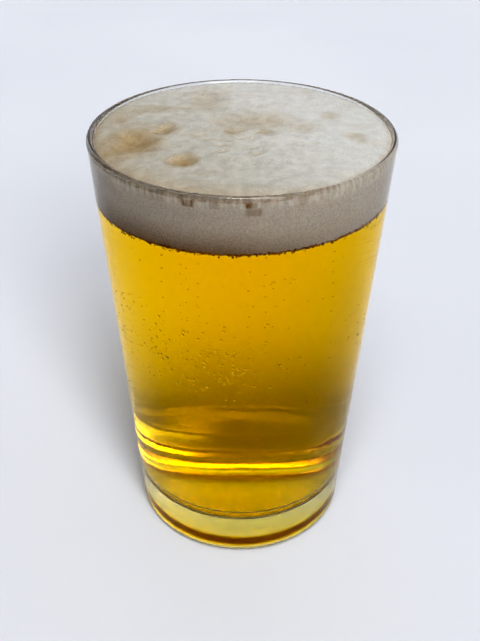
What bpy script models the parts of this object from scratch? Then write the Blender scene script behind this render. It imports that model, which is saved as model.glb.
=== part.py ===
"""A pint of lager in a thick-based, straight-sided tumbler, with its head of foam.

The tumbler and the beer are turned round the Z axis. The foam is a turned blank whose
top is then crowned and hollowed where bubbles have burst. The table is at z = 0.
"""

import math
from dataclasses import dataclass

import bpy

# The tumbler, in metres. The wall is straight and tapers from the foot to the rim.
RIM_RADIUS = 0.0450
GLASS_HEIGHT = 0.1380
FOOT_RADIUS = 0.0353
WALL_AT_RIM = 0.0019
WALL_AT_FLOOR = 0.0026
BASE_THICKNESS = 0.0130
FLOOR_CORNER = 0.0060
FOOT_EDGE = 0.0024
PUNT_RADIUS = 0.0270
PUNT_DEPTH = 0.0010

# The drink, up to the line where the foam starts
BEER_LEVEL = 0.1205
PIECE_GAP = 0.0003

# The head of foam: it meets the wall below the rim and swells above it
FOAM_EDGE_DROP = 0.0014
FOAM_SHOULDER = 0.0055
FOAM_SHOULDER_DROP = 0.0003
FOAM_CROWN = 0.0008
HOLLOW_EASE = 1.5

# How finely the round shapes are divided
TURN_STEPS = 64
CORNER_STEPS = 6
LIP_STEPS = 6
FOOT_STEPS = 5
FOAM_RINGS = 20
MERGE_DISTANCE = 0.00001
SHARP_ANGLE = 40


@dataclass(frozen=True)
class Hollow:
    """A dent where bubbles have burst in the foam, with its middle, half widths and depth."""

    x: float
    y: float
    half_x: float
    half_y: float
    depth: float


HOLLOWS = (
    Hollow(-0.0312, -0.0075, 0.0080, 0.0110, 0.0021),
    Hollow(-0.0224, 0.0002, 0.0040, 0.0052, 0.0012),
    Hollow(-0.0157, -0.0218, 0.0045, 0.0042, 0.0018),
    Hollow(-0.0020, -0.0028, 0.0028, 0.0032, 0.0006),
    Hollow(-0.0105, 0.0245, 0.0065, 0.0110, 0.0005),
    Hollow(0.0040, 0.0050, 0.0110, 0.0070, 0.0004),
)


@dataclass(frozen=True)
class Paint:
    """The plain colour and shine of one piece."""

    color: tuple
    roughness: float
    alpha: float = 1.0


CLEAR_GLASS = Paint((0.90, 0.93, 0.92), 0.05, 0.35)
GOLDEN_BEER = Paint((0.80, 0.47, 0.03), 0.08, 0.90)
OFF_WHITE_FOAM = Paint((0.78, 0.74, 0.66), 0.75)


def clear_scene():
    """Removes every object that the file starts with."""
    for obj in list(bpy.data.objects):
        bpy.data.objects.remove(obj, do_unlink=True)


def outer_radius(z):
    """The tumbler's outer radius at a height."""
    return FOOT_RADIUS + (RIM_RADIUS - FOOT_RADIUS) * z / GLASS_HEIGHT


def inner_radius(z):
    """The tumbler's inner radius at a height."""
    rise = (z - BASE_THICKNESS) / (GLASS_HEIGHT - BASE_THICKNESS)
    return outer_radius(z) - WALL_AT_FLOOR - (WALL_AT_RIM - WALL_AT_FLOOR) * rise


def arc(center, radius, start, end, steps):
    """Points (radius, z) along an arc, from one angle to another in degrees."""
    points = []
    for i in range(steps + 1):
        angle = math.radians(start + (end - start) * i / steps)
        points.append((center[0] + radius * math.cos(angle), center[1] + radius * math.sin(angle)))
    return points


def floor_corner(gap):
    """The rounded inner corner from the floor up to the wall, drawn in by a gap."""
    floor = BASE_THICKNESS + gap
    middle = floor + FLOOR_CORNER
    return arc((inner_radius(middle) - gap - FLOOR_CORNER, middle), FLOOR_CORNER, -90, 0, CORNER_STEPS)


def tumbler_profile():
    """From the middle of the inner floor up the inside, over the lip and down to the punt."""
    lip = WALL_AT_RIM / 2
    lip_middle = GLASS_HEIGHT - lip
    foot_middle = (outer_radius(FOOT_EDGE) - FOOT_EDGE, FOOT_EDGE)
    profile = [(0, BASE_THICKNESS)]
    profile += floor_corner(0)
    profile += arc((outer_radius(lip_middle) - lip, lip_middle), lip, 180, 0, LIP_STEPS)
    profile += arc(foot_middle, FOOT_EDGE, 0, -90, FOOT_STEPS)
    profile += [(PUNT_RADIUS, 0), (PUNT_RADIUS - 2 * PUNT_DEPTH, PUNT_DEPTH), (0, PUNT_DEPTH)]
    return profile


def beer_profile():
    """From the middle of the beer's surface out to the wall and down to the floor."""
    corner = floor_corner(PIECE_GAP)
    return [(0, BEER_LEVEL), (inner_radius(BEER_LEVEL) - PIECE_GAP, BEER_LEVEL), *reversed(corner), (0, corner[0][1])]


def foam_blank_profile():
    """A flat-topped plug of foam, ringed on top so that it can be shaped."""
    top = GLASS_HEIGHT - FOAM_EDGE_DROP
    low = BEER_LEVEL + PIECE_GAP
    rim = inner_radius(top) - PIECE_GAP
    rings = [(rim * i / FOAM_RINGS, top) for i in range(FOAM_RINGS + 1)]
    return [*rings, (inner_radius(low) - PIECE_GAP, low), (0, low)]


def foam_top(x, y):
    """The height of the foam's surface: a rolled edge, a low crown, and the burst hollows."""
    reach = inner_radius(GLASS_HEIGHT - FOAM_EDGE_DROP) - PIECE_GAP
    inward = max(0.0, reach - math.hypot(x, y))
    roll = math.sqrt(1 - (1 - min(1.0, inward / FOAM_SHOULDER)) ** 2)
    edge = GLASS_HEIGHT - FOAM_EDGE_DROP
    height = edge + (FOAM_EDGE_DROP - FOAM_SHOULDER_DROP) * roll
    past_shoulder = max(0.0, inward - FOAM_SHOULDER) / (reach - FOAM_SHOULDER)
    height += (FOAM_CROWN + FOAM_SHOULDER_DROP) * math.sin(past_shoulder * math.pi / 2)
    for hollow in HOLLOWS:
        away = ((x - hollow.x) / hollow.half_x) ** 2 + ((y - hollow.y) / hollow.half_y) ** 2
        if away < 1:
            height -= hollow.depth * (1 - away) ** HOLLOW_EASE * min(1.0, inward / FOAM_SHOULDER)
    return height


def paint_material(name, paint):
    """A Principled material of one colour."""
    material = bpy.data.materials.new(name)
    material.use_nodes = True
    shader = material.node_tree.nodes["Principled BSDF"]
    shader.inputs["Base Color"].default_value = (*paint.color, 1)
    shader.inputs["Roughness"].default_value = paint.roughness
    shader.inputs["Metallic"].default_value = 0
    shader.inputs["Alpha"].default_value = paint.alpha
    return material


def turned(name, profile, collection, paint):
    """A solid turned from a profile of (radius, z) points round the Z axis."""
    mesh = bpy.data.meshes.new(name)
    points = [(radius, 0, z) for radius, z in profile]
    mesh.from_pydata(points, [(i, i + 1) for i in range(len(points) - 1)], [])
    obj = bpy.data.objects.new(name, mesh)
    collection.objects.link(obj)
    screw = obj.modifiers.new("Turn", "SCREW")
    screw.axis = "Z"
    screw.angle = math.tau
    screw.steps = TURN_STEPS
    screw.render_steps = TURN_STEPS
    screw.use_smooth_shade = True
    screw.use_merge_vertices = True
    screw.merge_threshold = MERGE_DISTANCE
    mesh.materials.append(paint_material(name, paint))
    return obj


def applied(obj):
    """Makes the object's modifiers part of its mesh."""
    bpy.context.view_layer.update()
    graph = bpy.context.evaluated_depsgraph_get()
    obj.data = bpy.data.meshes.new_from_object(obj.evaluated_get(graph))
    obj.modifiers.clear()
    return obj


def shape_foam(foam):
    """Crowns and hollows the top of the foam's blank."""
    top = GLASS_HEIGHT - FOAM_EDGE_DROP
    for vertex in foam.data.vertices:
        if vertex.co.z > top - PIECE_GAP:
            vertex.co.z = foam_top(vertex.co.x, vertex.co.y)
    foam.data.shade_smooth()
    foam.data.set_sharp_from_angle(angle=math.radians(SHARP_ANGLE))


def main():
    clear_scene()
    pint = bpy.data.collections.new("pint_of_beer")
    bpy.context.scene.collection.children.link(pint)
    turned("glass", tumbler_profile(), pint, CLEAR_GLASS)
    turned("beer", beer_profile(), pint, GOLDEN_BEER)
    foam = turned("foam", foam_blank_profile(), pint, OFF_WHITE_FOAM)
    shape_foam(applied(foam))


main()
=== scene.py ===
"""The looks of a pint of lager in a straight-sided tumbler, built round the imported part.

The tumbler, the beer and the head of foam are made again more finely in the same places,
and then the things too small for the solids are added: the dark ragged line of bubbles
where foam and beer meet, bubbles in the beer, a film of foam under the rim, and mist on
the outside of the glass. All lengths are in metres, and the table is at z = 0.
"""

from __future__ import annotations

import logging
import math
import random
from dataclasses import dataclass
from enum import Enum
from typing import Callable

import bmesh
import bpy
from mathutils import Matrix, Vector, noise

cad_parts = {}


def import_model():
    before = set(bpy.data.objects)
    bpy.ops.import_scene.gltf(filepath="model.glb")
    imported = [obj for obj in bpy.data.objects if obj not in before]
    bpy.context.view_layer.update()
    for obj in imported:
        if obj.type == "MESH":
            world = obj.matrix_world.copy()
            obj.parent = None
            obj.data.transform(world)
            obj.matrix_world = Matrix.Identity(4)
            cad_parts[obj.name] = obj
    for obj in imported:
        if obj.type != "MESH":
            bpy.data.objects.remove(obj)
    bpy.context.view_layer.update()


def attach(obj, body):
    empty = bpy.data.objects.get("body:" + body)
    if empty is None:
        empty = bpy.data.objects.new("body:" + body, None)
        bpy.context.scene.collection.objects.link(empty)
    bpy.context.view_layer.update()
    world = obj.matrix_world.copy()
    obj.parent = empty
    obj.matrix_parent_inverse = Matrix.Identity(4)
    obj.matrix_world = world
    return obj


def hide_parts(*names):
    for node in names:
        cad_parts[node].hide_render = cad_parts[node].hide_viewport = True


log = logging.getLogger("pint")

MM = 0.001
FULL_TURN = math.tau
MERGE = 1e-6
SHARP_ANGLE = 50.0
ALL_ROUND = 180.0

Color = tuple[float, float, float]
Point = tuple[float, float]


def smooth_step(low: float, high: float, value: float) -> float:
    """Eases a value from 0 at one bound to 1 at the other.

    Args:
        low: the value where the result is 0.
        high: the value where the result is 1.
        value: the value to ease.

    Returns:
        A number from 0 to 1.
    """
    part = min(1.0, max(0.0, (value - low) / (high - low)))
    return part * part * (3 - 2 * part)


def ripple(x: float, y: float, z: float, size: float, octaves: int = 2) -> float:
    """Soft noise in space, the same on each run.

    Args:
        x, y, z: the place.
        size: how far apart its bumps are.
        octaves: how many finer layers it has.

    Returns:
        A number from about -1 to 1.
    """
    total, height = 0.0, 1.0
    for octave in range(octaves):
        scale = 2**octave / size
        total += height * noise.noise(Vector((x * scale, y * scale, z * scale + 17.3 * octave)))
        height /= 2
    return total


class Value:
    """One output of a shader tree, with arithmetic that adds Math nodes."""

    def __init__(self, shade: "Shade", socket: bpy.types.NodeSocket) -> None:
        self.shade = shade
        self.socket = socket

    def maths(self, operation: str, *terms: "Value | float") -> "Value":
        """Adds a Math node.

        Args:
            operation: the node's operation.
            terms: its values, in order.

        Returns:
            The node's result.
        """
        return self.shade.node("ShaderNodeMath", {"operation": operation}, dict(enumerate(terms)))

    def __add__(self, other: "Value | float") -> "Value":
        """This plus other."""
        return self.maths("ADD", self, other)

    def __radd__(self, other: float) -> "Value":
        """Other plus this."""
        return self.maths("ADD", other, self)

    def __sub__(self, other: "Value | float") -> "Value":
        """This minus other."""
        return self.maths("SUBTRACT", self, other)

    def __rsub__(self, other: float) -> "Value":
        """Other minus this."""
        return self.maths("SUBTRACT", other, self)

    def __mul__(self, other: "Value | float") -> "Value":
        """This times other."""
        return self.maths("MULTIPLY", self, other)

    def __rmul__(self, other: float) -> "Value":
        """Other times this."""
        return self.maths("MULTIPLY", other, self)

    def __truediv__(self, other: "Value | float") -> "Value":
        """This divided by other."""
        return self.maths("DIVIDE", self, other)

    def __pow__(self, other: "Value | float") -> "Value":
        """This to the power of other."""
        return self.maths("POWER", self, other)

    def held(self) -> "Value":
        """This, kept between 0 and 1."""
        return self.maths("MINIMUM", self.maths("MAXIMUM", self, 0.0), 1.0)

    def step(self, low: float, high: float) -> "Value":
        """Eases this from 0 at low to 1 at high.

        Args:
            low: the value where the result is 0.
            high: the value where the result is 1.

        Returns:
            The eased value.
        """
        inputs = {"Value": self, "From Min": low, "From Max": high, "To Min": 0.0, "To Max": 1.0}
        return self.shade.node("ShaderNodeMapRange", {"interpolation_type": "SMOOTHSTEP"}, inputs)


class Shade:
    """A shader tree that is built with Python expressions."""

    def __init__(self, tree: bpy.types.NodeTree) -> None:
        self.tree = tree

    def feed(self, socket: bpy.types.NodeSocket, term: object) -> None:
        """Links a value to a socket, or sets a plain number, colour or vector on it.

        Args:
            socket: the input that is fed.
            term: a Value, or what the socket is set to.
        """
        if isinstance(term, Value):
            self.tree.links.new(term.socket, socket)
        else:
            socket.default_value = term

    def node(
        self, kind: str, settings: dict | None = None, inputs: dict | None = None, output: int | str = 0
    ) -> Value:
        """Adds any node.

        Args:
            kind: the node's type.
            settings: its settings, which are set first.
            inputs: the values or links of its sockets, by name or number.
            output: which output to hand back.

        Returns:
            That output.
        """
        node = self.tree.nodes.new(kind)
        for key, setting in (settings or {}).items():
            setattr(node, key, setting)
        for key, term in (inputs or {}).items():
            self.feed(node.inputs[key], term)
        return Value(self, node.outputs[output])

    def place(self, stretch: Color = (1.0, 1.0, 1.0), shift: Color = (0.0, 0.0, 0.0)) -> Value:
        """Object coordinates, scaled and shifted.

        Args:
            stretch: the scale along each axis.
            shift: what is added after that.

        Returns:
            The coordinates.
        """
        coords = self.node("ShaderNodeTexCoord", output="Object")
        return self.node("ShaderNodeMapping", None, {"Vector": coords, "Scale": stretch, "Location": shift})

    def axes(self, at: Value) -> tuple[Value, Value, Value]:
        """The three numbers of a vector.

        Args:
            at: the vector.

        Returns:
            Its x, y and z.
        """
        split = self.node("ShaderNodeSeparateXYZ", None, {0: at}).socket.node
        return Value(self, split.outputs[0]), Value(self, split.outputs[1]), Value(self, split.outputs[2])

    def grain(self, at: Value, size: float, detail: float = 2.0, rough: float = 0.5) -> Value:
        """Soft noise from 0 to 1.

        Args:
            at: where it is read.
            size: how far apart its bumps are.
            detail: how many finer layers it has.
            rough: how strong those are.

        Returns:
            The noise.
        """
        inputs = {"Vector": at, "Scale": 1 / size, "Detail": detail, "Roughness": rough}
        return self.node("ShaderNodeTexNoise", None, inputs)

    def cells(self, at: Value, size: float) -> Value:
        """The distance in a cell pattern, 0 at the middle of each cell.

        Args:
            at: where it is read.
            size: about how wide a cell is.

        Returns:
            The distance, about 0 to 1.
        """
        return self.node("ShaderNodeTexVoronoi", {"feature": "F1"}, {"Vector": at, "Scale": 1 / size})

    def tint(self, mask: "Value | float", first: "Value | Color", second: "Value | Color") -> Value:
        """Mixes two colours.

        Args:
            mask: 0 for the first and 1 for the second.
            first: a colour.
            second: another.

        Returns:
            The mixed colour.
        """
        ends = [color if isinstance(color, Value) else (*color, 1.0) for color in (first, second)]
        return self.node("ShaderNodeMix", {"data_type": "RGBA"}, {0: mask, 6: ends[0], 7: ends[1]}, 2)

    def bump(self, height: Value, depth: float, strength: float = 1.0, under: Value | None = None) -> Value:
        """A normal that is bent by a height.

        Args:
            height: the height, 0 to 1.
            depth: how deep 1 is.
            strength: how much of it shows.
            under: a coarser bump below it.

        Returns:
            The bent normal.
        """
        inputs = {"Height": height, "Distance": depth, "Strength": strength}
        if under is not None:
            inputs["Normal"] = under
        return self.node("ShaderNodeBump", None, inputs)


class Finish(Shade):
    """A material with one Principled shader."""

    def __init__(self, name: str, **sockets: object) -> None:
        """Makes the material.

        Args:
            name: its name.
            sockets: plain values of the shader's sockets, with _ for a space.
        """
        self.material = bpy.data.materials.new(name)
        self.material.use_nodes = True
        super().__init__(self.material.node_tree)
        self.surface = self.tree.nodes["Principled BSDF"]
        self.output = self.tree.nodes["Material Output"]
        self.set(**sockets)

    def set(self, **sockets: object) -> None:
        """Sets or links sockets of the shader.

        Args:
            sockets: the values, with _ for a space in each name.
        """
        for key, term in sockets.items():
            if isinstance(term, tuple) and len(term) == 3 and key.endswith("Color"):
                term = (*term, 1.0)
            self.feed(self.surface.inputs[key.replace("_", " ")], term)


class Index(Enum):
    """How strongly each clear thing bends light against what it touches."""

    GLASS = 1.50
    BEER_TO_GLASS = 1.50 / 1.345
    BEER_INSIDE_GLASS = 1.0
    BEER = 1.345
    WATER = 1.333
    FOAM = 1.33
    AIR_IN_BEER = 1 / 1.345


def clear(name: str, index: Index, roughness: float = 0.0, color: Color = (1.0, 1.0, 1.0)) -> Finish:
    """A finish that light passes through.

    Args:
        name: the material's name.
        index: how strongly it bends light.
        roughness: how dull its surface is.
        color: what it does to light that passes.

    Returns:
        The finish.
    """
    return Finish(name, Transmission_Weight=1.0, IOR=index.value, Roughness=roughness, Base_Color=color)


@dataclass(frozen=True)
class Tumbler:
    """The glass: a straight, tapering wall on a thick base."""

    rim_radius: float = 0.0450
    height: float = 0.1380
    foot_radius: float = 0.0353
    wall_at_rim: float = 0.0019
    wall_at_floor: float = 0.0026
    base: float = 0.0130
    corner: float = 0.0060
    foot_edge: float = 0.0024
    punt_radius: float = 0.0270
    punt_depth: float = 0.0010
    beer_level: float = 0.1205
    turns: int = 192
    ring_gap: float = 0.0030

    def outer(self, z: float) -> float:
        """The outer radius at a height."""
        return self.foot_radius + (self.rim_radius - self.foot_radius) * z / self.height

    def inner(self, z: float) -> float:
        """The inner radius at a height."""
        rise = (z - self.base) / (self.height - self.base)
        return self.outer(z) - self.wall_at_floor - (self.wall_at_rim - self.wall_at_floor) * rise

    @staticmethod
    def arc(center: Point, radius: float, start: float, end: float, steps: int) -> list[Point]:
        """Points along an arc.

        Args:
            center: its middle, as (radius, z).
            radius: its own radius.
            start, end: the first and last angle in degrees.
            steps: how many pieces it has.

        Returns:
            The points.
        """
        angles = [math.radians(start + (end - start) * i / steps) for i in range(steps + 1)]
        return [(center[0] + radius * math.cos(a), center[1] + radius * math.sin(a)) for a in angles]

    def line(self, start: Point, end: Point) -> list[Point]:
        """Points between two points, without them, about ring_gap apart.

        Args:
            start, end: the two points.

        Returns:
            The points between.
        """
        count = max(1, round(math.dist(start, end) / self.ring_gap))
        return [tuple(a + (b - a) * i / count for a, b in zip(start, end)) for i in range(1, count)]

    def floor_corner(self, reach: float) -> list[Point]:
        """The rounded corner from the floor up to the wall.

        Args:
            reach: how far it is moved out into the glass.

        Returns:
            Its points, from the floor up.
        """
        middle = self.base - reach + self.corner
        steps = 16
        return self.arc((self.inner(middle) + reach - self.corner, middle), self.corner, -90, 0, steps)

    def lean(self, angle: float) -> float:
        """How far the beer's line at the wall stands above its level: it is higher on the right."""
        return MM * (0.3 + 0.8 * math.cos(angle))

    def floor_ripple(self, x: float, y: float) -> float:
        """How far the pressed inner floor is from flat at a place."""
        return 0.07 * MM * ripple(x, y, 0.0, 9 * MM)

    def profile(self) -> list[Point]:
        """From the middle of the inner floor, over the lip, down to the underside's middle."""
        lip = self.wall_at_rim / 2
        lip_middle = self.height - lip
        foot = (self.outer(self.foot_edge) - self.foot_edge, self.foot_edge)
        corner = self.floor_corner(0.0)
        rim = self.arc((self.outer(lip_middle) - lip, lip_middle), lip, 180, 0, 14)
        edge = self.arc(foot, self.foot_edge, 0, -90, 10)
        middle = (0.0, self.base)
        punt = (self.punt_radius, 0.0)
        dip = (self.punt_radius - 2 * self.punt_depth, self.punt_depth)
        under = (0.0, self.punt_depth)
        inside = [middle, *self.line(middle, corner[0]), *corner, *self.line(corner[-1], rim[0]), *rim]
        outside = [*self.line(rim[-1], edge[0]), *edge, *self.line(edge[-1], punt)]
        return [*inside, *outside, punt, dip, *self.line(dip, under), under]


def spun(profile: list[Point], turns: int) -> bmesh.types.BMesh:
    """Turns a profile once round the Z axis.

    Args:
        profile: (radius, z) points from one end on the axis to the other.
        turns: how many steps the turn has.

    Returns:
        The closed mesh, with its faces pointing outwards.
    """
    bm = bmesh.new()
    points = [bm.verts.new((radius, 0.0, z)) for radius, z in profile]
    edges = [bm.edges.new(pair) for pair in zip(points, points[1:])]
    bmesh.ops.spin(
        bm, geom=points + edges, cent=(0, 0, 0), axis=(0, 0, 1), angle=FULL_TURN, steps=turns, use_merge=True
    )
    bmesh.ops.remove_doubles(bm, verts=bm.verts, dist=MERGE)
    bmesh.ops.recalc_face_normals(bm, faces=bm.faces)
    return bm


def finished(
    name: str, bm: bmesh.types.BMesh, finishes: list[Finish], sharp: float | None = SHARP_ANGLE
) -> bpy.types.Object:
    """Makes a mesh a piece that rides on the glass's body.

    Args:
        name: the piece's name.
        bm: its mesh, which is used up.
        finishes: its materials, in the order of its faces' material numbers.
        sharp: the angle in degrees past which an edge stays sharp, or None for none.

    Returns:
        The piece.
    """
    mesh = bpy.data.meshes.new(name)
    bm.to_mesh(mesh)
    bm.free()
    mesh.shade_smooth()
    if sharp is not None:
        mesh.set_sharp_from_angle(angle=math.radians(sharp))
    for finish in finishes:
        mesh.materials.append(finish.material)
    piece = bpy.data.objects.new(name, mesh)
    bpy.context.scene.collection.objects.link(piece)
    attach(piece, "root")
    log.info("%s: %d faces", name, len(mesh.polygons))
    return piece


@dataclass(frozen=True)
class GlassBody:
    """The clear tumbler: where its misted patch lies, and how dull each part of it is."""

    form: Tumbler
    patch_x: float = -0.008
    patch_z: float = 0.078
    patch_half_x: float = 0.019
    patch_half_z: float = 0.012
    polish: float = 0.004
    mist_dullness: float = 0.05
    smear_dullness: float = 0.035
    foot_dullness: float = 0.17
    worn_dullness: float = 0.08
    lip_dullness: float = 0.22

    def finish(self) -> Finish:
        """Clear polished glass with a misted patch, faint scratches, finger marks and a dull foot."""
        look = clear("clear_glass", Index.GLASS, self.polish, (0.985, 0.995, 0.99))
        at = look.place()
        x, y, z = look.axes(at)
        front = (0.0 - y).step(0.020, 0.034)
        across = ((x - self.patch_x) / self.patch_half_x) ** 2.0
        upward = ((z - self.patch_z) / self.patch_half_z) ** 2.0
        patch = (1 - across - upward).held()
        broken = look.grain(at, 4 * MM, 3.0, 0.6).step(0.44, 0.62)
        mist = front * patch.step(0.0, 0.5) * broken
        specks = 1 - look.cells(look.place((1.0, 1.0, 0.7)), 1.1 * MM).step(0.12, 0.5)
        smear = look.grain(look.place((1.0, 1.0, 0.35)), 7 * MM, 4.0, 0.6).step(0.58, 0.80)
        scratch = look.grain(look.place((1.0, 1.0, 7.0)), 5 * MM, 5.0, 0.7).step(0.60, 0.66)
        foot = 1 - z.step(3.5 * MM, 8.0 * MM)
        ground = foot * (self.foot_dullness + self.worn_dullness * z.step(0.0, 1.5 * MM))
        dull = self.polish + mist * self.mist_dullness + smear * self.smear_dullness + ground
        uneven = look.bump(look.grain(look.place((1.0, 1.0, 0.45)), 6 * MM, 2.0), 0.16 * MM, 0.5)
        relief = specks * mist + scratch * 0.06 + smear * 0.03
        look.set(Roughness=dull.held(), Normal=look.bump(relief, 0.14 * MM, 0.6, uneven))
        return look

    def wet_finish(self) -> Finish:
        """The inside of the wall and floor where beer lies against the glass."""
        return clear("wet_glass", Index.BEER_TO_GLASS)

    def lip_finish(self) -> Finish:
        """The lip, a little dull from use, so that it shows as a pale line."""
        return clear("dull_lip", Index.GLASS, self.lip_dullness)

    def build(self) -> bpy.types.Object:
        """The glass, with a rippled pressed floor, and finishes of its own where it is wet and on the lip."""
        bm = spun(self.form.profile(), self.form.turns)
        limit = self.form.base + self.form.corner
        for face in bm.faces:
            middle = face.calc_center_median()
            inside = math.hypot(middle.x, middle.y) < self.form.inner(middle.z) + MERGE
            if inside and self.form.base - MERGE < middle.z < self.form.beer_level:
                face.material_index = 1
            elif middle.z > self.form.height - self.form.wall_at_rim:
                face.material_index = 2
        for vert in bm.verts:
            x, y, z = vert.co
            if self.form.base - MERGE < z < limit and math.hypot(x, y) < self.form.inner(z) + MERGE:
                vert.co.z += self.form.floor_ripple(x, y)
        piece = finished("tumbler", bm, [self.finish(), self.wet_finish(), self.lip_finish()])
        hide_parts("glass")
        return piece


@dataclass(frozen=True)
class BeerFill:
    """The lager, up to the line where the foam starts, and how much of each colour it takes away."""

    form: Tumbler
    reach: float = 0.00015
    density: float = 90.0
    lost: Color = (0.3, 5.7, 86.0)

    def finish(self) -> Finish:
        """Clear golden beer, coloured by how far light goes through it."""
        look = clear("lager", Index.BEER_INSIDE_GLASS)
        kept = tuple(1 - part / self.density for part in self.lost)
        inputs = {"Density": self.density, "Color": (*kept, 1.0)}
        look.feed(look.output.inputs["Volume"], look.node("ShaderNodeVolumeAbsorption", None, inputs))
        return look

    def build(self) -> bpy.types.Object:
        """The beer as one closed body that reaches just into the glass."""
        level = self.form.beer_level
        corner = self.form.floor_corner(self.reach)
        edge = (self.form.inner(level) + self.reach, level)
        top, low = (0.0, level), (0.0, corner[0][1])
        flat = (edge[0] - 2 * MM, level)
        profile = [top, *self.form.line(top, flat), flat, edge, *self.form.line(edge, corner[-1]),
                   *reversed(corner), *self.form.line(corner[0], low), low]
        bm = spun(profile, self.form.turns)
        limit = self.form.base + self.form.corner - self.reach
        for vert in bm.verts:
            x, y, z = vert.co
            if z < limit:
                vert.co.z += self.form.floor_ripple(x, y)
            elif z > level - MERGE and math.hypot(x, y) > flat[0] + MERGE:
                vert.co.z += self.form.lean(math.atan2(y, x))
        piece = finished("lager_body", bm, [self.finish()])
        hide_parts("beer")
        return piece


@dataclass(frozen=True)
class Hollow:
    """A dent where bubbles have burst in the foam: its middle, half widths, depth and stain."""

    x: float
    y: float
    half_x: float
    half_y: float
    depth: float
    stain_and_painted_shade: float
    crisp: float = 1.5


HOLLOWS = (
    Hollow(-0.0305, -0.0085, 0.0072, 0.0095, 0.0017, 0.95, 2.0),
    Hollow(-0.0224, -0.0006, 0.0034, 0.0042, 0.0010, 0.75, 1.6),
    Hollow(-0.0157, -0.0222, 0.0040, 0.0034, 0.0015, 0.90, 1.2),
    Hollow(-0.0262, -0.0140, 0.0050, 0.0022, 0.0005, 0.30),
    Hollow(-0.0020, -0.0028, 0.0030, 0.0032, 0.0005, 0.55, 2.0),
    Hollow(0.0066, -0.0043, 0.0034, 0.0026, 0.0003, 0.50, 2.0),
    Hollow(-0.0105, 0.0245, 0.0060, 0.0110, 0.0005, 0.35, 2.0),
    Hollow(0.0040, 0.0050, 0.0115, 0.0070, 0.0004, 0.45, 2.0),
    Hollow(0.0169, 0.0012, 0.0055, 0.0040, 0.0002, 0.35, 2.0),
    Hollow(0.0264, 0.0108, 0.0030, 0.0030, 0.0002, 0.35, 2.0),
    Hollow(0.0323, -0.0047, 0.0034, 0.0034, 0.0002, 0.35, 2.0),
    Hollow(-0.0360, 0.0085, 0.0034, 0.0060, 0.0004, 0.35, 2.0),
    Hollow(-0.0270, 0.0160, 0.0100, 0.0036, 0.0004, 0.35, 2.0),
    Hollow(-0.0126, -0.0060, 0.0024, 0.0012, 0.0003, 0.30),
    Hollow(-0.0102, -0.0085, 0.0020, 0.0009, 0.0003, 0.25),
    Hollow(-0.0060, -0.0090, 0.0026, 0.0009, 0.0003, 0.25),
    Hollow(-0.0054, -0.0130, 0.0024, 0.0010, 0.0003, 0.25),
    Hollow(-0.0058, -0.0168, 0.0023, 0.0010, 0.0003, 0.25),
    Hollow(-0.0084, -0.0035, 0.0021, 0.0010, 0.0002, 0.20),
    Hollow(0.0029, -0.0050, 0.0022, 0.0009, 0.0003, 0.30),
    Hollow(0.0027, -0.0092, 0.0022, 0.0009, 0.0003, 0.25),
    Hollow(0.0002, -0.0080, 0.0020, 0.0009, 0.0002, 0.20),
    Hollow(0.0019, -0.0150, 0.0024, 0.0010, 0.0003, 0.20),
    Hollow(0.0041, -0.0185, 0.0026, 0.0010, 0.0003, 0.20),
)


@dataclass(frozen=True)
class Blot:
    """A brown blot in the foam at the wall: its angle and half width in degrees, its height, and stain."""

    turn: float
    half_turn: float
    z: float
    half_z: float
    stain_and_painted_shade: float


BLOTS = (
    Blot(-87.0, 2.2, 0.1358, 0.0016, 0.95),
    Blot(-86.0, 3.0, 0.1333, 0.0012, 0.45),
    Blot(-108.5, 2.4, 0.1355, 0.0017, 0.85),
    Blot(-99.0, 2.5, 0.1352, 0.0014, 0.30),
    Blot(-122.0, 6.0, 0.1345, 0.0010, 0.25),
    Blot(-70.0, 3.0, 0.1350, 0.0014, 0.20),
)


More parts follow.
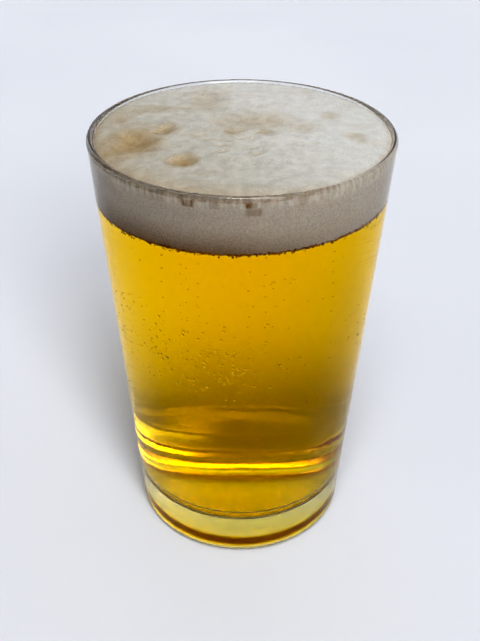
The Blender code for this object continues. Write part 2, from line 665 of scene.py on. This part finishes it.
@dataclass(frozen=True)
class FoamHead:
    """The head: a soft dome with burst hollows, swirls and a grained side against the wall."""

    form: Tumbler
    reach: float = 0.00010
    edge_drop: float = 0.0010
    slump_drop: float = 0.0011
    slump_turn: float = -128.0
    shoulder: float = 0.0050
    shoulder_drop: float = 0.0003
    crown: float = 0.0008
    sink: float = 0.0004
    turns: int = 448
    rings: int = 116
    side_rings: int = 34

    @property
    def edge(self) -> float:
        """The height where the head meets the wall, away from the slumped side."""
        return self.form.height - self.edge_drop

    @property
    def radius(self) -> float:
        """The head's radius there."""
        return self.form.inner(self.edge) + self.reach

    def slump(self, angle: float) -> float:
        """How far the head has sunk at an angle, 0 to 1: it has sunk at the front left."""
        return smooth_step(0.1, 1.0, math.cos(angle - math.radians(self.slump_turn)))

    def swirl(self, x: float, y: float) -> float:
        """Streaks across the head, drawn out where the beer was poured.

        Args:
            x, y: the place.

        Returns:
            A number from about -1 to 1.
        """
        bend = 4 * MM * ripple(x, y, 0.21, 18 * MM)
        return ripple(0.38 * x + bend, y + 0.35 * bend, 0.4, 4.2 * MM, 3)

    def top(self, x: float, y: float) -> tuple[float, float]:
        """The head's surface at a place.

        Args:
            x, y: the place.

        Returns:
            Its height, and how brown it is, 0 to 1, from staining and from painted shade.
        """
        slump = self.slump(math.atan2(y, x))
        inward = max(0.0, self.radius - math.hypot(x, y))
        shoulder = self.shoulder * (1 + 0.9 * slump)
        across = min(1.0, inward / shoulder)
        roll = math.sqrt(1 - (1 - across) ** 2)
        drop = self.edge_drop + self.slump_drop * slump
        height = self.form.height - drop + (drop - self.shoulder_drop) * roll
        past = max(0.0, inward - shoulder) / (self.radius - shoulder)
        height += (self.crown + self.shoulder_drop) * math.sin(past * math.pi / 2)
        warp_x = x + 1.3 * MM * ripple(x, y, 0.9, 6 * MM)
        warp_y = y + 1.3 * MM * ripple(x, y, 1.7, 6 * MM)
        stain_and_painted_shade = 0.0
        for hollow in HOLLOWS:
            away = ((warp_x - hollow.x) / hollow.half_x) ** 2 + ((warp_y - hollow.y) / hollow.half_y) ** 2
            if away < 2.2:
                height -= hollow.depth * max(0.0, 1 - away) ** hollow.crisp * across
                stain_and_painted_shade = max(stain_and_painted_shade, hollow.stain_and_painted_shade * max(0.0, 1 - away / 2.2) ** 1.3)
        streak = self.swirl(x, y)
        broad, fine = ripple(x, y, 0.0, 12 * MM), ripple(x, y, 0.3, 1.6 * MM, 3)
        height += across * MM * (0.08 * streak + 0.26 * broad + 0.03 * fine)
        # Painted shade: the top is browner towards the left, and where it rolls down to the wall, most of all
        # on the slumped front left, as if those slopes were in shadow. The swirl and noise terms are the
        # foam's own uneven tone.
        left = smooth_step(0.034, -0.034, x + 0.25 * y)
        stain_and_painted_shade += 0.15 * max(0.0, -streak) + 0.10 * left + 0.05 * ripple(x, y, 0.5, 2.5 * MM)
        stain_and_painted_shade += 0.25 * slump * smooth_step(0.95, 0.35, across) + 0.30 * smooth_step(0.45, 0.0, across)
        return height, min(1.0, max(0.0, stain_and_painted_shade))

    def side(self, angle: float, z: float) -> float:
        """How brown the head's side is against the wall, from brown blots and from painted shade.

        Args:
            angle: the angle round the glass.
            z: the height.

        Returns:
            A number from 0 to 1.
        """
        low = self.form.beer_level
        rise = (z - low) / (self.edge - low)
        # Browner towards the bottom: partly the wetter foam near the beer, partly painted beer-coloured light
        # from below.
        brown = 0.07 + 0.93 * (1 - smooth_step(-0.20, 0.55, rise))
        # Painted shade: the side is paler on the right and browner on the left, front and back, as if lit
        # from the right.
        brown *= 1 - 0.80 * smooth_step(0.1, 1.0, math.cos(angle - math.radians(-15)))
        for blot in BLOTS:
            turned = math.remainder(angle - math.radians(blot.turn), FULL_TURN)
            away = (math.degrees(turned) / blot.half_turn) ** 4 + ((z - blot.z) / blot.half_z) ** 4
            brown = max(brown, blot.stain_and_painted_shade * smooth_step(1.4, 0.4, away))
        return min(1.0, brown)

    def ragged(self, angle: float) -> float:
        """How far the foam's lower edge hangs below the beer's level at an angle."""
        x, y = math.cos(angle), math.sin(angle)
        teeth = 0.20 * ripple(x, y, 0.0, 0.020, 2) + 0.13 * ripple(x, y, 3.0, 0.008, 1)
        return MM * (0.15 + teeth) - self.form.lean(angle)

    def finish(self) -> Finish:
        """Fine, dense foam: matt, softly lit through, with cells too small for the mesh, and painted shade
        that darkens the top and side on the left and front.
        """
        look = Finish("head_foam", Roughness=0.62, IOR=Index.FOAM.value)
        look.set(Subsurface_Weight=0.35, Subsurface_Scale=1.6 * MM, Subsurface_Radius=(1.0, 0.85, 0.6))
        at = look.place()
        x, y, z = look.axes(at)
        stain_and_painted_shade = look.node("ShaderNodeAttribute", {"attribute_name": "stain_and_painted_shade"}, None, "Fac")
        flank = look.node("ShaderNodeAttribute", {"attribute_name": "flank"}, None, "Fac")
        fine = look.cells(at, 0.80 * MM)
        finer = look.grain(at, 0.34 * MM, 2.0, 0.6)
        patchy = look.grain(at, 3.2 * MM, 3.0, 0.6)
        # Painted shade on the head's top: the foam colour is darker towards the left and front and lighter
        # towards the right and back, as if lit from the right and behind.
        bright = look.tint(patchy.step(0.3, 0.7), (0.60, 0.588, 0.545), (0.65, 0.642, 0.60))
        painted_shade_cream = look.tint(patchy.step(0.3, 0.7), (0.49, 0.472, 0.415), (0.56, 0.542, 0.485))
        # This mask runs from the left front (0) to the right back (1) and sets the painted shade.
        away = (x * 0.85 + y * 0.6 + 0.004 + (patchy - 0.5) * 0.02).step(-0.030, 0.026)
        cream_with_painted_shade = look.tint(away, painted_shade_cream, bright)
        tan = look.tint(patchy.step(0.35, 0.65), (0.40, 0.315, 0.20), (0.47, 0.385, 0.255))
        crown = look.tint((stain_and_painted_shade + (finer - 0.5) * 0.10).held(), cream_with_painted_shade, tan)
        pale = look.tint(finer.step(0.35, 0.7), (0.74, 0.675, 0.57), (0.87, 0.815, 0.73))
        # The dark brown laid where the side's mask is high: for brown blots and for painted shade.
        brown_and_painted_shade = look.tint(finer.step(0.35, 0.7), (0.25, 0.135, 0.05), (0.41, 0.265, 0.12))
        wall = look.tint(stain_and_painted_shade, pale, brown_and_painted_shade)
        gaps = look.tint(0.30, wall, (0.20, 0.13, 0.07))
        wall = look.tint((fine.step(0.10, 0.55) * 0.40).held(), gaps, wall)
        streaks = look.grain(look.place((1.0, 1.0, 0.14)), 0.9 * MM, 1.0).step(0.40, 0.62)
        upper = z.step(self.edge - 3.6 * MM, self.edge - 2.2 * MM)
        wall = look.tint((upper * streaks * 0.35).held(), wall, (0.90, 0.87, 0.78))
        height = (1 - fine.step(0.0, 0.7)) * 0.6 + finer * 0.4
        look.set(Base_Color=look.tint(flank, crown, wall), Normal=look.bump(height, 0.22 * MM, 0.8))
        return look

    def build(self) -> bpy.types.Object:
        """The head as one closed body whose lower edge is ragged."""
        low = self.form.beer_level - self.sink
        top = [(self.radius * i / self.rings, self.edge) for i in range(self.rings + 1)]
        foot = (self.form.inner(low) + self.reach, low)
        drop = [(top[-1][0] + (foot[0] - top[-1][0]) * i / self.side_rings,
                 self.edge + (low - self.edge) * i / self.side_rings) for i in range(1, self.side_rings + 1)]
        bm = spun([*top, *drop, (foot[0] - 2 * MM, low), (0.0, low)], self.turns)
        stain_and_painted_shade_layer = bm.verts.layers.float.new("stain_and_painted_shade")
        flank_layer = bm.verts.layers.float.new("flank")
        for vert in bm.verts:
            x, y, z = vert.co
            angle = math.atan2(y, x)
            if z > self.edge - MERGE:
                vert.co.z, vert[stain_and_painted_shade_layer] = self.top(x, y)
                vert[flank_layer] = smooth_step(0.7 * MM, 0.0, self.radius - math.hypot(x, y))
                continue
            vert[flank_layer] = 1.0
            if math.hypot(x, y) > self.form.inner(z) - 1 * MM:
                sunk = (z - low) / (self.edge - low) * self.slump_drop * self.slump(angle)
                hang = smooth_step(self.form.beer_level + 3 * MM, low, z) * self.ragged(angle)
                height = z - sunk - hang
                scale = (self.form.inner(height) + self.reach) / math.hypot(x, y)
                vert.co = (x * scale, y * scale, height)
                vert[stain_and_painted_shade_layer] = self.side(angle, height)
        piece = finished("foam_head", bm, [self.finish()])
        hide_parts("foam")
        return piece


@dataclass(frozen=True)
class Bead:
    """One small ball: its middle, radius, and how flat it is along its outward direction."""

    x: float
    y: float
    z: float
    radius: float
    flat: float = 1.0


def strewn(name: str, beads: list[Bead], finish: Finish, rounds: int) -> bpy.types.Object:
    """Makes one piece of many small balls.

    Args:
        name: the piece's name.
        beads: the balls.
        finish: their material.
        rounds: how finely each ball is divided.

    Returns:
        The piece.
    """
    bm = bmesh.new()
    group = 32
    for first in range(0, len(beads), group):
        part = bmesh.new()
        for bead in beads[first:first + group]:
            outward = Vector((bead.x, bead.y, 0.0)).to_track_quat("X", "Z").to_matrix().to_4x4()
            size = Matrix.Diagonal((bead.radius * bead.flat, bead.radius, bead.radius, 1.0))
            place = Matrix.Translation((bead.x, bead.y, bead.z)) @ outward @ size
            bmesh.ops.create_icosphere(part, subdivisions=rounds, radius=1.0, matrix=place)
        mesh = bpy.data.meshes.new("part")
        part.to_mesh(mesh)
        part.free()
        bm.from_mesh(mesh)
        bpy.data.meshes.remove(mesh)
    return finished(name, bm, [finish], None)


@dataclass(frozen=True)
class BeerLine:
    """The dark ragged line of bubbles where the foam meets the beer at the wall."""

    form: Tumbler
    head: FoamHead
    count: int = 640
    loose: int = 240
    seed: int = 11

    def finish(self) -> Finish:
        """Beer in the gaps between bubbles, seen edge on as a deep brown."""
        look = Finish("beer_line", Roughness=0.25, IOR=Index.BEER.value)
        tone = look.grain(look.place(), 1.5 * MM).step(0.3, 0.7)
        look.set(Base_Color=look.tint(tone, (0.20, 0.085, 0.02), (0.42, 0.22, 0.07)))
        return look

    def build(self) -> bpy.types.Object:
        """A ring of beads of uneven size, with loose ones just below."""
        rng = random.Random(self.seed)
        beads = []
        for i in range(self.count + self.loose):
            row = i < self.count
            share = (i + rng.uniform(-0.3, 0.3)) / self.count if row else rng.uniform(0, 1)
            angle = FULL_TURN * share
            radius = (rng.choice((0.28, 0.38, 0.48, 0.60)) if row else rng.uniform(0.14, 0.32)) * MM
            hang = (rng.uniform(-0.15, 0.40) if row else rng.uniform(0.4, 1.20)) * MM
            z = self.form.beer_level - self.head.ragged(angle) - hang
            out = self.form.inner(z) + self.head.reach - 0.75 * radius
            beads.append(Bead(out * math.cos(angle), out * math.sin(angle), z, radius))
        piece = strewn("beer_line", beads, self.finish(), 2)
        return piece


@dataclass(frozen=True)
class Fizz:
    """Bubbles in the beer: thin rising strings, and a few that cling to the wall."""

    form: Tumbler
    strings: int = 7
    clinging: int = 90
    seed: int = 23

    def finish(self) -> Finish:
        """Air in beer."""
        return clear("fizz", Index.AIR_IN_BEER)

    def build(self) -> bpy.types.Object:
        """All the bubbles as one piece, clear of the wall and of the foam."""
        rng = random.Random(self.seed)
        beads = []
        for _ in range(self.strings):
            away, angle = rng.uniform(0.004, 0.024), rng.uniform(0, FULL_TURN)
            z = self.form.base + rng.uniform(2, 25) * MM
            radius = 0.14 * MM
            while z < self.form.beer_level - 3 * MM:
                x = away * math.cos(angle) + rng.uniform(-0.3, 0.3) * MM
                y = away * math.sin(angle) + rng.uniform(-0.3, 0.3) * MM
                beads.append(Bead(x, y, z, radius))
                z += rng.uniform(3.0, 7.5) * MM
                radius = min(0.30 * MM, radius * 1.05)
        for _ in range(self.clinging):
            z = rng.uniform(self.form.base + 10 * MM, self.form.beer_level - 3 * MM)
            angle = rng.uniform(0, FULL_TURN)
            radius = rng.uniform(0.10, 0.26) * MM
            away = self.form.inner(z) - radius - 0.05 * MM
            beads.append(Bead(away * math.cos(angle), away * math.sin(angle), z, radius))
        piece = strewn("fizz", beads, self.finish(), 2)
        return piece


@dataclass(frozen=True)
class Mist:
    """Small drops of water on the outside of the cold glass."""

    form: Tumbler
    count: int = 460
    gathered: int = 230
    seed: int = 37

    def finish(self) -> Finish:
        """Clear water."""
        return clear("mist", Index.WATER)

    def build(self) -> bpy.types.Object:
        """Flat drops in patches all round, and more of them gathered on the front left."""
        rng = random.Random(self.seed)
        beads: list[Bead] = []
        while len(beads) < self.count:
            z = rng.uniform(40, 112) * MM
            angle = rng.uniform(0, FULL_TURN)
            away = self.form.outer(z)
            x, y = away * math.cos(angle), away * math.sin(angle)
            if ripple(x, y, z, 16 * MM, 2) + rng.uniform(-0.2, 0.2) < 0.28:
                continue
            beads.append(Bead(x, y, z, rng.uniform(0.10, 0.30) * MM, 0.35))
        for _ in range(self.gathered):
            z = rng.gauss(83, 6.5) * MM
            angle = math.radians(rng.gauss(-101, 15) + 0.5 * (83 - z / MM))
            away = self.form.outer(z)
            radius = rng.choice((0.16, 0.22, 0.30, 0.44)) * MM
            beads.append(Bead(away * math.cos(angle), away * math.sin(angle), z, radius, 0.45))
        piece = strewn("mist", beads, self.finish(), 2)
        return piece


@dataclass(frozen=True)
class Lacing:
    """The thin streaky film of foam left on the wall just above the head."""

    form: Tumbler
    head: FoamHead
    inset: float = 0.00012
    thickness: float = 0.00006

    def finish(self) -> Finish:
        """Broken upright streaks of dried foam."""
        look = Finish("lacing", Roughness=0.5, IOR=Index.FOAM.value)
        _, _, z = look.axes(look.place())
        streaks = look.grain(look.place((1.0, 1.0, 0.16)), 0.8 * MM, 2.0, 0.6)
        patches = look.grain(look.place((1.0, 1.0, 0.6), (0.3, 0.0, 0.0)), 5 * MM, 2.0)
        fade = 1 - z.step(self.head.edge + 0.3 * MM, self.form.height - 0.2 * MM)
        cover = (streaks.step(0.46, 0.66) * 0.55 + patches.step(0.55, 0.75) * 0.25) * fade
        look.set(Base_Color=look.tint(streaks, (0.52, 0.42, 0.26), (0.78, 0.74, 0.64)), Alpha=cover.held())
        return look

    def build(self) -> bpy.types.Object:
        """A thin ring against the wall, from below the head's edge up to the lip."""
        low, high = self.head.edge - 0.6 * MM, self.form.height - 0.7 * MM
        steps = 6
        bm = bmesh.new()
        heights = [low + (high - low) * i / steps for i in range(steps + 1)]
        outer = [(self.form.inner(z) - self.inset, 0, z) for z in heights]
        inner = [(radius - self.thickness, 0, z) for radius, _, z in reversed(outer)]
        ring = [bm.verts.new(point) for point in outer + inner]
        edges = [bm.edges.new((ring[i], ring[(i + 1) % len(ring)])) for i in range(len(ring))]
        bmesh.ops.spin(bm, geom=ring + edges, cent=(0, 0, 0), axis=(0, 0, 1), angle=FULL_TURN,
                       steps=self.form.turns, use_merge=True)
        bmesh.ops.recalc_face_normals(bm, faces=bm.faces)
        piece = finished("lacing", bm, [self.finish()])
        return piece


@dataclass(frozen=True)
class Panel:
    """A soft light: its bearing, half width, softness, lower and upper edge in degrees, and its strength."""

    turn: float
    half_turn: float
    soft: float
    low: float
    high: float
    strength: float

    def amount(self, shade: Shade, toward: Value) -> Value:
        """How much of the light is seen in a direction.

        Args:
            shade: the world's tree.
            toward: the direction.

        Returns:
            A number from 0 to 1.
        """
        x, y, z = shade.axes(toward)
        turn = math.radians(self.turn)
        flat = (x * x + y * y) ** 0.5
        facing = (x * math.sin(turn) + y * math.cos(turn)) / flat
        across: Value | float = 1.0
        if self.half_turn < ALL_ROUND:
            wide, narrow = math.radians(self.half_turn + self.soft), math.radians(self.half_turn - self.soft)
            across = facing.step(math.cos(wide), math.cos(narrow))
        lower = z.step(math.sin(math.radians(self.low - self.soft)), math.sin(math.radians(self.low)))
        upper = z.step(math.sin(math.radians(self.high)), math.sin(math.radians(self.high + self.soft)))
        return lower * (1 - upper) * across


GLOWS = (
    Panel(175, 24, 10, 54, 76, 11.8),
    Panel(159, 7, 6, 28, 42, 15.0),
    Panel(105, 55, 12, 0, 20, 1.0),
    Panel(0, 45, 12, 0, 20, 0.8),
    Panel(5, 44, 8, 20, 58, 0.28),
    Panel(0, 180, 12, 0, 22, 0.48),
)


@dataclass(frozen=True)
class Studio:
    """The plain pale table, the soft lights and the camera."""

    lens_pixels: float = 900.0
    frame_height: float = 641.0
    sensor: float = 36.0
    back: float = 0.24798
    up: float = 0.23660
    pitch: float = 0.5875
    roll: float = 0.00466
    yaw: float = -0.00147
    room: Color = (0.95, 0.96, 1.0)
    room_strength: float = 0.10
    black: float = 0.07
    contrast: float = 1.5
    bounces: int = 24
    table_reach: float = 4.0

    def camera(self) -> None:
        """Sets the camera at the height and tilt of the photograph's."""
        level = math.cos(self.pitch)
        forward = Vector((math.sin(self.yaw) * level, math.cos(self.yaw) * level, -math.sin(self.pitch)))
        side = forward.cross(Vector((0, 0, 1))).normalized()
        above = side.cross(forward)
        right = side * math.cos(self.roll) + above * math.sin(self.roll)
        top = above * math.cos(self.roll) - side * math.sin(self.roll)
        eye = bpy.data.objects.new("camera", bpy.data.cameras.new("camera"))
        eye.data.lens = self.sensor * self.lens_pixels / self.frame_height
        eye.data.sensor_width = self.sensor
        eye.matrix_world = Matrix(((right.x, top.x, -forward.x, 0), (right.y, top.y, -forward.y, -self.back),
                                   (right.z, top.z, -forward.z, self.up), (0, 0, 0, 1)))
        bpy.context.scene.collection.objects.link(eye)
        bpy.context.scene.camera = eye

    def table(self) -> None:
        """A wide, plain, pale table top."""
        look = Finish("table", Roughness=0.65)
        at = look.place()
        cloud = look.grain(at, 0.30, 2.0).step(0.3, 0.7)
        look.set(Base_Color=look.tint(cloud, (0.70, 0.71, 0.725), (0.73, 0.738, 0.75)))
        look.set(Normal=look.bump(look.grain(at, 2.5 * MM, 3.0), 0.05 * MM, 0.15))
        bm = bmesh.new()
        below = Matrix.Translation((0, 0, -0.05 * MM))
        bmesh.ops.create_grid(bm, x_segments=8, y_segments=8, size=self.table_reach, matrix=below)
        mesh = bpy.data.meshes.new("table")
        bm.to_mesh(mesh)
        bm.free()
        mesh.materials.append(look.material)
        table = bpy.data.objects.new("table", mesh)
        bpy.context.scene.collection.objects.link(table)

    def lights(self) -> None:
        """Soft boxes overhead and at the front right, in a pale room, brighter behind and on the right."""
        world = bpy.data.worlds.new("studio")
        world.use_nodes = True
        shade = Shade(world.node_tree)
        sky = world.node_tree.nodes["Background"]
        toward = shade.node("ShaderNodeTexCoord", output="Generated")
        bright: Value | float = self.room_strength
        for glow in GLOWS:
            bright = bright + glow.amount(shade, toward) * glow.strength
        color = shade.node("ShaderNodeVectorMath", {"operation": "SCALE"}, {0: self.room, "Scale": bright})
        shade.feed(sky.inputs["Color"], color)
        sky.inputs["Strength"].default_value = 1.0
        bpy.context.scene.world = world

    def set_up(self) -> None:
        """Camera, table and lights, and how the picture is worked out."""
        self.camera()
        self.table()
        self.lights()
        scene = bpy.context.scene
        scene.view_settings.view_transform = "Standard"
        scene.view_settings.gamma = 1 / self.contrast
        scene.view_settings.use_curve_mapping = True
        scene.view_settings.curve_mapping.black_level = (self.black,) * 3
        scene.view_settings.curve_mapping.update()
        scene.cycles.max_bounces = self.bounces
        scene.cycles.transmission_bounces = self.bounces
        scene.cycles.use_denoising = True
        log.info("studio ready")


def main() -> None:
    """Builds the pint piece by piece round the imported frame."""
    logging.basicConfig(level=logging.INFO, format="%(name)s: %(message)s")
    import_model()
    Studio().set_up()
    form = Tumbler()
    head = FoamHead(form)
    makers: tuple[Callable[[], bpy.types.Object], ...] = (
        GlassBody(form).build,
        BeerFill(form).build,
        head.build,
        BeerLine(form, head).build,
        Fizz(form).build,
        Mist(form).build,
        Lacing(form, head).build,
    )
    for make in makers:
        piece = make()
        log.info("%s is in place", piece.name)


if __name__ == "__main__":
    main()
